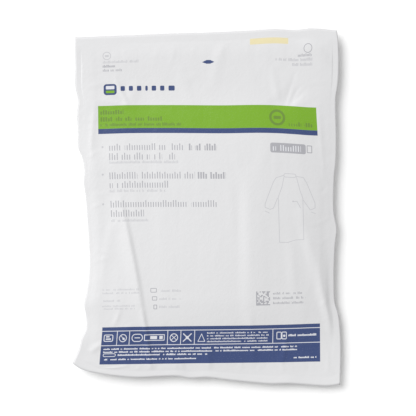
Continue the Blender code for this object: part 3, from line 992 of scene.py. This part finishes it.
LAYERS = (
    InkLayer(Ink.GREEN, 1.0, shapes=(Shape(25.5, 279.5, 296.8, 323.3),)),
    InkLayer(Ink.NAVY, 1.0, shapes=(
        Shape(25.5, 279.5, 291.0, 296.8),
        Shape(25.5, 279.5, 24.5, 66.9),
        Shape(32.4, 47.6, 335.6, 348.6, 3.5),
        *(Shape(left, right - 1.4, 340.0, 345.8, 1.2) for left, right in PLAIN_BLOCKS),
    ), strokes=(
        Stroke((148.2, 372.2), (160.6, 372.2), 1.1),
        Stroke((150.2, 372.3), (158.7, 372.3), 2.6),
        Stroke((152.6, 372.4), (156.4, 372.4), 4.2),
    )),
    InkLayer(Ink.GREEN, 1.0, shapes=(Shape(35.0, 45.0, 337.9, 340.9, 0.8),)),
    InkLayer(Ink.STRAW, 0.85, shapes=(Shape(202.8, 247.0, 389.9, 396.6, 0.6),)),
    InkLayer(Ink.OLIVE, 0.8, shapes=(
        ring(233.4, 309.2, 9.3, 2.8),
        Shape(229.2, 237.8, 307.4, 311.0, 1.0),
    ), rows=(
        Rows(28.2, 55.1, 318.2, 5.0, 5, Ticks.BOLD),
        Rows(28.3, 99.8, 310.2, 5.0, 6, Ticks.BOLD),
        Rows(28.1, 121.7, 303.0, 3.4, 7),
        Rows(246.4, 256.4, 304.2, 4.2, 8, Ticks.LARGE),
        Rows(257.4, 274.6, 305.0, 4.8, 9, Ticks.BOLD),
    )),
    InkLayer(Ink.PALE_GREY, 0.75, shapes=(
        ring(36.9, 382.6, 4.9, 0.9), Shape(34.6, 39.2, 381.4, 383.6, 0.6),
        ring(30.2, 275.8, 1.2), ring(29.5, 244.0, 1.2), ring(28.8, 209.6, 1.2),
        Shape(238.6, 253.2, 240.1, 244.9, 2.4, 0.7), ring(249.0, 212.2, 0.9),
    ), strokes=GOWN_FIGURE, rows=(
        Rows(32.2, 73.4, 376.8, 3.2, 21, Ticks.FAINT),
        Rows(232.4, 275.0, 374.7, 3.2, 24),
        Rows(251.8, 275.0, 369.7, 3.2, 25),
        Rows(37.9, 117.6, 259.4, 3.2, 53, Ticks.FAINT),
        Rows(37.1, 101.8, 226.3, 3.2, 56, Ticks.FAINT),
        Rows(37.7, 81.0, 192.0, 3.2, 59, Ticks.FAINT),
        Rows(23.4, 71.0, 111.4, 4.0, 11, Ticks.FAINT, 2, 0.55, 28.0),
        Rows(24.3, 48.2, 98.6, 2.4, 12, Ticks.FAINT),
        Rows(24.9, 64.0, 92.3, 3.1, 13, Ticks.FAINT, 2, 0.66, 2.0),
        Rows(92.0, 118.0, 109.6, 9.3, 14, Ticks.FAINT, 3, 0.3, 2.0),
    )),
    InkLayer(Ink.GREY, 0.8, shapes=(
        Shape(224.0, 265.1, 268.6, 280.0, 2.2),
        Shape(266.3, 272.6, 270.2, 279.2, 1.0, 1.0),
        ring(269.9, 384.5, 5.0, 0.8),
        Shape(81.6, 89.0, 106.2, 111.4, 0.8, 0.8), Shape(83.4, 89.4, 97.0, 101.8, 0.8, 0.8),
        Shape(85.1, 89.4, 86.8, 92.2, 0.8, 0.9),
    ), rows=(
        Rows(31.8, 48.0, 371.8, 3.2, 22),
        Rows(32.0, 54.2, 366.9, 3.2, 23, Ticks.FAINT),
        Rows(258.3, 274.8, 379.2, 3.2, 26, Ticks.FAINT),
        Rows(38.0, 126.8, 279.2, 7.8, 51, Ticks.LARGE),
        Rows(37.8, 113.8, 268.5, 8.0, 52, Ticks.LARGE),
        Rows(37.4, 136.3, 246.3, 7.9, 54, Ticks.LARGE),
        Rows(37.2, 106.0, 235.9, 8.0, 55, Ticks.LARGE),
        Rows(37.5, 161.0, 213.4, 7.9, 57, Ticks.LARGE),
        Rows(37.6, 76.0, 202.5, 7.9, 58, Ticks.LARGE),
        Rows(130.2, 162.4, 279.0, 7.8, 61, Ticks.BOLD),
        Rows(139.6, 171.8, 246.2, 7.8, 62, Ticks.BOLD),
        Rows(224.5, 269.4, 105.0, 5.6, 15, Ticks.FAINT, 3, 0.5, 14.0),
    )),
    InkLayer(Ink.WHITE, 0.92, shapes=(
        *STRIP_SHAPES, Shape(35.0, 45.0, 342.4, 346.4, 0.8),
    ), strokes=STRIP_STROKES, rows=(
        Rows(227.0, 263.0, 277.6, 6.8, 71, Ticks.LARGE),
        Rows(148.0, 220.6, 59.8, 3.25, 31, Ticks.FINE, 4, 0.5, 3.0),
        Rows(28.8, 253.0, 43.0, 3.45, 35, Ticks.CLOSE, 2, 0.5, 1.0),
        Rows(45.8, 149.0, 36.2, 1.9, 38, Ticks.CLOSE),
        Rows(28.7, 136.4, 31.2, 1.7, 39, Ticks.CLOSE),
        Rows(242.4, 275.0, 56.0, 2.4, 41, Ticks.CLOSE),
        Rows(247.0, 275.0, 30.6, 1.9, 40, Ticks.CLOSE),
    )),
)

CODE_SQUARE = Shape(204.7, 221.0, 89.9, 106.3)


class Press:
    """Lays ink masks down inside one node tree."""

    def __init__(self, wiring: Wiring, film: Socket) -> None:
        """Starts on a tree.

        Args:
            wiring: the tree's wiring.
            film: the socket that gives a point's place on the film.
        """
        self.wiring = wiring
        self.film = film
        self.across, self.along = wiring.across(film), wiring.along(film)
        self.shape_tree = printed_shape_effect().tree
        self.stroke_tree = printed_stroke_effect().tree
        self.rows_tree = printed_rows_effect().tree
        self.cells_tree = printed_cells_effect().tree

    def shape(self, item: Shape) -> Socket:
        """The mask of a printed box, disc or ring."""
        middle = ((item.left + item.right) / 2, (item.foot + item.head) / 2, 0.0)
        half = ((item.right - item.left) / 2 - item.corner, (item.head - item.foot) / 2 - item.corner, 0.0)
        made = self.wiring.group(
            self.shape_tree, film=self.film, middle=middle, half=half, corner=item.corner, line=item.line
        )
        return made.outputs["Mask"]

    def stroke(self, item: Stroke) -> Socket:
        """The mask of a printed line."""
        run = np.subtract(item.end, item.start)
        made = self.wiring.group(
            self.stroke_tree, film=self.film, start=(*item.start, 0.0), run=(*run, 0.0),
            per_length=1 / float(run @ run), width=item.width,
        )
        return made.outputs["Mask"]

    def rows(self, item: Rows) -> Socket:
        """The mask of a block of ticks."""
        word, tick, tick_share = item.ticks.value
        made = self.wiring.group(
            self.rows_tree, across=self.across, along=self.along, left=item.left, right=item.right,
            head=item.head, pitch=item.pitch, rows=float(item.rows), share=item.share, ragged=item.ragged,
            seed=float(item.seed), word=word, tick=tick, tick_share=tick_share,
        )
        return made.outputs["Mask"]

    def code(self, square: Shape, cells: int) -> Socket:
        """The mask of a square of small cells with two plain sides."""
        cell = (square.right - square.left) / cells
        made = self.wiring.group(
            self.cells_tree, across=self.across, along=self.along, left=square.left, foot=square.foot,
            cell=cell,
        )
        total = self.wiring.math("MULTIPLY", made.outputs["Mask"], self.shape(square))
        foot = Shape(square.left, square.right, square.foot, square.foot + cell)
        left = Shape(square.left, square.left + cell, square.foot, square.head)
        return self.over(total, self.over(self.shape(foot), self.shape(left)))

    def over(self, total: Socket | None, mask: Socket) -> Socket:
        """A mask laid over the masks so far."""
        return mask if total is None else self.wiring.math("MAXIMUM", total, mask)

    def layer(self, layer: InkLayer) -> Socket:
        """The mask of all that one ink prints.

        Each mask joins the total as soon as it is made, because a renderer works nodes out in the order
        they were made and has little room for values that wait.
        """
        total = None
        kinds = ((self.shape, layer.shapes), (self.stroke, layer.strokes), (self.rows, layer.rows))
        for make, items in kinds:
            for item in items:
                total = self.over(total, make(item))
        return total


@dataclass(frozen=True)
class PrintLayout:
    """The print of the front web: bands, rules and generic marks, with no lettering."""

    layers: tuple[InkLayer, ...] = LAYERS
    code: Shape = CODE_SQUARE
    code_cells: int = 12

    def build(self) -> bpy.types.NodeTree:
        """Builds the print as one group.

        Returns:
            The group's tree: Film and Bare in, Colour and Inked out.
        """
        effect = Effect(
            "front_print", {"Film": "Vector", "Bare": "Color"}, {"Colour": "Color", "Inked": "Float"}
        )
        w = effect.wiring
        press = Press(w, effect.given["Film"])
        speckle = w.ramp(w.noise(effect.given["Film"], 0.9, 3.0), 0.25, 0.45, 0.9, 1.0)
        colour, solid = effect.given["Bare"], None
        for layer in self.layers:
            mask = press.layer(layer)
            if layer.ink is Ink.GREY:
                mask = press.over(mask, press.code(self.code, self.code_cells))
            if layer.ink in (Ink.GREEN, Ink.NAVY):
                solid = press.over(solid, mask)
            share = w.math("MULTIPLY", w.math("MULTIPLY", mask, layer.strength), speckle)
            colour = w.mix(share, colour, layer.ink.value)
        effect.put_out("Colour", colour)
        effect.put_out("Inked", solid)
        return effect.tree


# Finishes


def material_of(name: str) -> tuple[bpy.types.Material, Wiring, bpy.types.Node]:
    """A new node material.

    Args:
        name: its name.

    Returns:
        The material, its wiring and its Principled shader.
    """
    material = bpy.data.materials.new(name)
    material.use_nodes = True
    return material, Wiring(material.node_tree), material.node_tree.nodes["Principled BSDF"]


@dataclass(frozen=True)
class FilmFinish:
    """Blown polyethylene film, white and satin, bare or printed."""

    name: str
    white: Colour
    shaded_white: Colour
    roughness: float
    crinkle: float

    def build(self, surface: Effect, seal: Effect, printed: bpy.types.NodeTree | None) -> bpy.types.Material:
        """Builds the material.

        Args:
            surface: the film's relief.
            seal: the heat seals.
            printed: the print, or None on a bare web.

        Returns:
            The material.
        """
        material, w, shader = material_of(self.name)
        place = w.node("ShaderNodeAttribute", attribute_name=FILM).outputs["Vector"]
        relief = w.group(surface.tree, film=place, crinkle=self.crinkle)
        band = w.group(seal.tree, film=place, rib=0.01)
        colour = w.mix(relief.outputs["Haze"], self.shaded_white, self.white)
        rough = w.ramp(relief.outputs["Haze"], 0.3, 0.7, self.roughness + 0.05, self.roughness - 0.04)
        rough = w.math("SUBTRACT", rough, w.math("MULTIPLY", band.outputs["Band"], 0.03))
        if printed is not None:
            ink = w.group(printed, film=place, bare=colour)
            colour = ink.outputs["Colour"]
            rough = w.math("SUBTRACT", rough, w.math("MULTIPLY", ink.outputs["Inked"], 0.08))
        w.feed(shader.inputs["Base Color"], colour)
        w.feed(shader.inputs["Roughness"], rough)
        bump = w.node("ShaderNodeBump")
        bump.inputs["Strength"].default_value = 0.6
        bump.inputs["Distance"].default_value = MM
        w.feed(bump.inputs["Height"], w.math("ADD", relief.outputs["Height"], band.outputs["Height"]))
        w.feed(shader.inputs["Normal"], bump.outputs["Normal"])
        shader.inputs["IOR"].default_value = 1.5
        return material


@dataclass(frozen=True)
class GownClothFinish:
    """Spunbonded nonwoven: fine bonded points and a matt, slightly fuzzy face."""

    name: str = "gown_nonwoven"
    blue: Colour = (0.165, 0.315, 0.47)
    pale_blue: Colour = (0.24, 0.41, 0.57)
    point_pitch: float = 1.4

    def build(self) -> bpy.types.Material:
        """Builds the material.

        Returns:
            The material.
        """
        material, w, shader = material_of(self.name)
        place = w.node("ShaderNodeTexCoord").outputs["Object"]
        in_mm = w.vector("SCALE", place)
        in_mm.inputs["Scale"].default_value = 1 / MM
        points = w.node("ShaderNodeTexVoronoi", feature="F1")
        w.feed(points.inputs["Vector"], in_mm.outputs[0])
        points.inputs["Scale"].default_value = 1 / self.point_pitch
        points.inputs["Randomness"].default_value = 0.15
        bond = w.ramp(points.outputs["Distance"], 0.16, 0.34, 0.0, 1.0)
        fibre = w.noise(in_mm.outputs[0], 0.6, 4.0, 0.65)
        tone = w.math("MULTIPLY", w.math("ADD", bond, fibre), 0.5)
        w.feed(shader.inputs["Base Color"], w.mix(tone, self.blue, self.pale_blue))
        shader.inputs["Roughness"].default_value = 0.88
        shader.inputs["Sheen Weight"].default_value = 0.25
        bump = w.node("ShaderNodeBump")
        bump.inputs["Strength"].default_value = 0.5
        bump.inputs["Distance"].default_value = 0.12 * MM
        w.feed(bump.inputs["Height"], w.math("ADD", bond, w.math("MULTIPLY", fibre, 0.6)))
        w.feed(shader.inputs["Normal"], bump.outputs["Normal"])
        return material


# The pieces


def mesh_object(
    name: str, points: Array, faces: Sequence[Sequence[int]], film: Array | None
) -> bpy.types.Object:
    """A smooth mesh object.

    Args:
        name: its name.
        points: its vertices in metres.
        faces: its faces.
        film: each vertex's place on the film in millimetres, or None.

    Returns:
        The object, in the scene.
    """
    mesh = bpy.data.meshes.new(name)
    mesh.from_pydata(points.tolist(), [], [tuple(face) for face in faces])
    if film is not None:
        places = mesh.attributes.new(FILM, "FLOAT_VECTOR", "POINT")
        places.data.foreach_set("vector", np.ascontiguousarray(film, np.float32).ravel())
    mesh.shade_smooth()
    made = bpy.data.objects.new(name, mesh)
    bpy.context.scene.collection.objects.link(made)
    return made


def grid_faces(columns: int, rows: int, flipped: bool) -> Array:
    """The quads of a grid whose point (i, j) has the index i * rows + j."""
    i, j = np.meshgrid(np.arange(columns - 1), np.arange(rows - 1), indexing="ij")
    first = (i * rows + j).ravel()
    quads = np.stack([first, first + rows, first + rows + 1, first + 1], axis=1)
    return quads[:, ::-1] if flipped else quads


def grid_border(columns: int, rows: int) -> Array:
    """The indices round a grid's edge, anticlockwise."""
    foot = np.arange(columns) * rows
    right = (columns - 1) * rows + np.arange(1, rows)
    head = np.arange(columns - 2, -1, -1) * rows + rows - 1
    left = np.arange(rows - 2, 0, -1)
    return np.concatenate([foot, right, head, left])


@dataclass
class FilmWeb:
    """One web of film, laid on a grid of places."""

    lay: FilmLay
    finish: FilmFinish
    name: str
    node: str
    slot: str
    spacing: float = 1.8
    thickness: float = 0.2

    def grid(self) -> tuple[Array, Array]:
        """The places of the grid, closer together at the seals.

        Returns:
            The distances across and along, each as an array of two dimensions.
        """
        return np.meshgrid(
            self._lines(self.lay.width, self.lay.side_seal),
            self._lines(self.lay.length, self.lay.end_seal),
            indexing="ij",
        )

    def _lines(self, size: float, seal: float) -> Array:
        """Grid lines over one direction, with lines on the cut edges and both sides of the seals."""
        margin = np.array([0.0, 0.25, 0.5, 0.75, 0.93, 1.0]) * seal
        margin = np.append(margin, seal + np.array([0.6, 1.4, 2.6]))
        middle = np.linspace(seal + 4.2, size - seal - 4.2, int(round((size - 2 * seal) / self.spacing)))
        return np.concatenate([margin, middle, size - margin[::-1]])

    def heights(self, across: Array, along: Array) -> Array:
        """The web's height over its places, in millimetres."""
        raise NotImplementedError

    def make(self, printed: bpy.types.NodeTree | None, surface: Effect, seal: Effect) -> bpy.types.Object:
        """Args:
            printed: the print, or None on a bare web.
            surface: the film's relief.
            seal: the heat seals.

        Returns:
            The web's object.
        """
        across, along = self.grid()
        x, y = self.lay.plan(across, along)
        points = np.stack([x, y, self.heights(across, along)], axis=2).reshape(-1, 3) * MM
        film = np.stack([across, along, np.zeros_like(across)], axis=2).reshape(-1, 3)
        made = self.build_mesh(points, film, across.shape)
        made.data.materials.append(self.finish.build(surface, seal, printed))
        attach(made, "root")
        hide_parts(self.node)
        return made

    def build_mesh(self, points: Array, film: Array, shape: tuple[int, int]) -> bpy.types.Object:
        """Makes the web's mesh from its points."""
        return mesh_object(self.name, points, grid_faces(*shape, flipped=False), film)


@dataclass
class FrontWeb(FilmWeb):
    """The printed front web, over the contents, with a lip that closes the cut edge."""

    creases: tuple[Crease, ...] = MAIN_CREASES
    families: tuple[CreaseFamily, ...] = FAMILIES
    stand_off: float = 0.4

    def all_creases(self) -> list[Crease]:
        """The main creases and every family's small ones."""
        return [*self.creases, *(crease for family in self.families for crease in family.creases(self.lay))]

    def heights(self, across: Array, along: Array) -> Array:
        """The web's height: the seals' plane, and the rise over the contents inside them."""
        seal = self.lay.seal_share(across, along)
        plane = self.lay.lift(across, along, self.lay.back_lift_reach) + 1.15 + self.thickness / 2
        return plane + self.stand_off * (1 - seal) + self.lay.rise(across, along, self.all_creases())

    def build_mesh(self, points: Array, film: Array, shape: tuple[int, int]) -> bpy.types.Object:
        """Makes the web's mesh, with the lip round its edge."""
        border = grid_border(*shape)
        lip = points[border] - np.array([0.0, 0.0, self.thickness * MM])
        below = len(points) + np.arange(len(border))
        strip = np.stack([border, below, np.roll(below, -1), np.roll(border, -1)], axis=1)
        faces = np.concatenate([grid_faces(*shape, flipped=False), strip])
        points = np.concatenate([points, lip])
        return mesh_object(self.name, points, faces, np.concatenate([film, film[border]]))


@dataclass
class BackWeb(FilmWeb):
    """The plain back web, flat where the pouch rests."""

    families: tuple[CreaseFamily, ...] = FAMILIES[:3]
    spacing: float = 2.6

    def heights(self, across: Array, along: Array) -> Array:
        """The web's height: flat in the middle, up to the seals' plane at its margins."""
        seal = self.lay.seal_share(across, along)
        lift = self.lay.lift(across, along, self.lay.back_lift_reach)
        loose = np.zeros_like(lift)
        for family in self.families:
            for crease in family.creases(self.lay):
                loose = loose + crease_height(crease, across, along)
        free = ease(lift / 3.0) * (1 - seal)
        return np.maximum(lift + (1.15 - self.thickness / 2) * seal - 0.8 * loose * free, 0.06)

    def build_mesh(self, points: Array, film: Array, shape: tuple[int, int]) -> bpy.types.Object:
        """Makes the web's mesh, facing down."""
        return mesh_object(self.name, points, grid_faces(*shape, flipped=True), film)


@dataclass
class FoldedGown:
    """The folded gown between the webs: a rounded stack whose edges show its layers."""

    lay: FilmLay
    finish: GownClothFinish
    left: float = 44.0
    right: float = 261.0
    foot: float = 50.0
    head: float = 342.0
    corner: float = 24.0
    layers: int = 4
    edge_height: float = 7.4
    clearance: float = 1.6
    corner_points: int = 12
    side_points: int = 40
    top_insets: tuple[float, ...] = (2.0, 5.0, 9.0, 14.0, 22.0, 34.0, 50.0, 70.0, 92.0)

    def outline(self, inset: float) -> Array:
        """Places round the stack, this far inside its edge.

        Args:
            inset: the distance inside, in millimetres.

        Returns:
            One row for each place on the film.
        """
        radius = max(self.corner - inset, 2.0)
        half = np.array([(self.right - self.left) / 2, (self.head - self.foot) / 2]) - inset - radius
        middle = np.array([self.left + self.right, self.foot + self.head]) / 2
        corners = np.array([(1, 1), (-1, 1), (-1, -1), (1, -1)]) * half
        rounds = []
        for quarter in range(4):
            angles = (quarter + np.linspace(0, 1, self.corner_points)) * np.pi / 2
            arc = corners[quarter] + radius * np.stack([np.cos(angles), np.sin(angles)], axis=1)
            side = corners[(quarter + 1) % 4] - corners[quarter]
            shares = np.arange(1, self.side_points)[:, None] / self.side_points
            rounds += [arc, arc[-1] + side * shares]
        return middle + np.concatenate(rounds)

    def rings(self) -> list[Array]:
        """The rings of points from the stack's foot to the middle of its top."""
        floor, made = 1.3, []
        layer = self.edge_height / self.layers
        turns = np.linspace(0, 2 * np.pi, len(self.outline(0.0)), endpoint=False)
        for number in range(self.layers):
            slip = 0.5 * np.sin(3 * turns + 1.7 * number) + 0.3 * np.sin(7 * turns + 2.3 * number)
            for share, tuck in ((0.0, 2.2), (0.14, 0.9), (0.34, 0.1), (0.66, 0.1), (0.86, 0.9)):
                spots = self.outline(tuck + 0.4)
                inward = np.sign(spots.mean(axis=0) - spots) * (0.5 + slip[:, None]) * 0.5
                height = floor + (number + share) * layer
                made.append(self.ring_at(spots + inward, np.full(len(spots), height)))
        for inset in self.top_insets:
            spots = self.outline(inset)
            height = floor + self.lay.rise(*spots.T, MAIN_CREASES) - self.clearance
            height = np.minimum(height, floor + self.lay.contents(*spots.T) - self.clearance)
            made.append(self.ring_at(spots, np.maximum(height, floor + self.edge_height - 0.3)))
        return made

    def ring_at(self, spots: Array, height: Array) -> Array:
        """A ring of points over those places on the film."""
        x, y = self.lay.plan(*spots.T)
        return np.stack([x, y, height], axis=1)

    def make(self) -> bpy.types.Object:
        """Returns:
            The stack's object.
        """
        rings = self.rings()
        around = len(rings[0])
        faces = [tuple(range(around - 1, -1, -1))]
        for number in range(len(rings) - 1):
            for i in range(around):
                here, there = number * around + i, number * around + (i + 1) % around
                faces.append((here, there, there + around, here + around))
        top = (len(rings) - 1) * around
        points = np.concatenate([*rings, rings[-1].mean(axis=0)[None, :]])
        faces += [(top + i, top + (i + 1) % around, len(points) - 1) for i in range(around)]
        made = mesh_object("gown_stack", points * MM, faces, None)
        made.data.materials.append(self.finish.build())
        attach(made, "root")
        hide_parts("folded_gown")
        return made


# The studio


@dataclass(frozen=True)
class Studio:
    """A pale floor, soft light from the upper left, and the camera straight above."""

    camera_height: float = 1.34
    lens: float = 100.0
    roll_degrees: float = -0.7
    aim: tuple[float, float] = (0.00243, 0.00095)
    floor_white: float = 0.97
    sky: float = 0.64
    sun: float = 2.68
    sun_softness: float = 48.0
    sun_tilt: tuple[float, float] = (-29.7, -45.0)

    def build(self) -> None:
        """Builds the floor, the lights and the camera."""
        self._floor()
        self._lights()
        self._camera()
        bpy.context.scene.view_settings.view_transform = "Standard"

    def _floor(self) -> None:
        """The pale floor that the pouch lies on."""
        size = 3.0
        corners = np.array([(-size, -size, 0), (size, -size, 0), (size, size, 0), (-size, size, 0)], float)
        floor = mesh_object("studio_floor", corners, [(0, 1, 2, 3)], None)
        material, w, shader = material_of("studio_floor_white")
        cloud = w.noise(w.node("ShaderNodeTexCoord").outputs["Object"], 3.0)
        white, less = self.floor_white, self.floor_white - 0.01
        w.feed(shader.inputs["Base Color"], w.mix(cloud, (less, less, less), (white, white, white)))
        shader.inputs["Roughness"].default_value = 0.95
        shader.inputs["Specular IOR Level"].default_value = 0.0
        floor.data.materials.append(material)

    def _lights(self) -> None:
        """An even sky and one broad soft light."""
        world = bpy.data.worlds.new("studio_sky")
        world.use_nodes = True
        background = world.node_tree.nodes["Background"]
        background.inputs["Color"].default_value = (1.0, 1.0, 1.0, 1.0)
        background.inputs["Strength"].default_value = self.sky
        bpy.context.scene.world = world
        lamp = bpy.data.lights.new("key", "SUN")
        lamp.energy = self.sun
        lamp.angle = math.radians(self.sun_softness)
        key = bpy.data.objects.new("key", lamp)
        key.rotation_euler = (math.radians(self.sun_tilt[0]), math.radians(self.sun_tilt[1]), 0.0)
        bpy.context.scene.collection.objects.link(key)

    def _camera(self) -> None:
        """The camera, looking straight down."""
        lens = bpy.data.cameras.new("camera")
        lens.lens = self.lens
        lens.sensor_width = 36.0
        camera = bpy.data.objects.new("camera", lens)
        camera.location = (*self.aim, self.camera_height)
        camera.rotation_euler = (0.0, 0.0, math.radians(self.roll_degrees))
        bpy.context.scene.collection.objects.link(camera)
        bpy.context.scene.camera = camera


def main() -> None:
    """Loads the frame and builds each piece in order."""
    logging.basicConfig(level=logging.INFO, format="%(message)s")
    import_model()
    Studio().build()
    lay = FilmLay()
    surface, seal = film_surface_effect(), heat_seal_effect(lay)

    front_finish = FilmFinish("front_film_printed", (0.662, 0.662, 0.670), (0.651, 0.651, 0.659), 0.42, 1.0)
    front = FrontWeb(lay, front_finish, "front_film", "front_web", "front_film")
    front_piece = front.make(PrintLayout().build(), surface, seal)
    back_finish = FilmFinish("back_film_plain", (0.665, 0.668, 0.675), (0.645, 0.648, 0.655), 0.48, 1.2)
    back = BackWeb(lay, back_finish, "back_film", "back_web", "back_film")
    back_piece = back.make(None, surface, seal)
    gown_piece = FoldedGown(lay, GownClothFinish()).make()

    for piece in (front_piece, back_piece, gown_piece):
        LOG.info("%s: %d vertices, %d faces", piece.name, len(piece.data.vertices), len(piece.data.polygons))


if __name__ == "__main__":
    main()
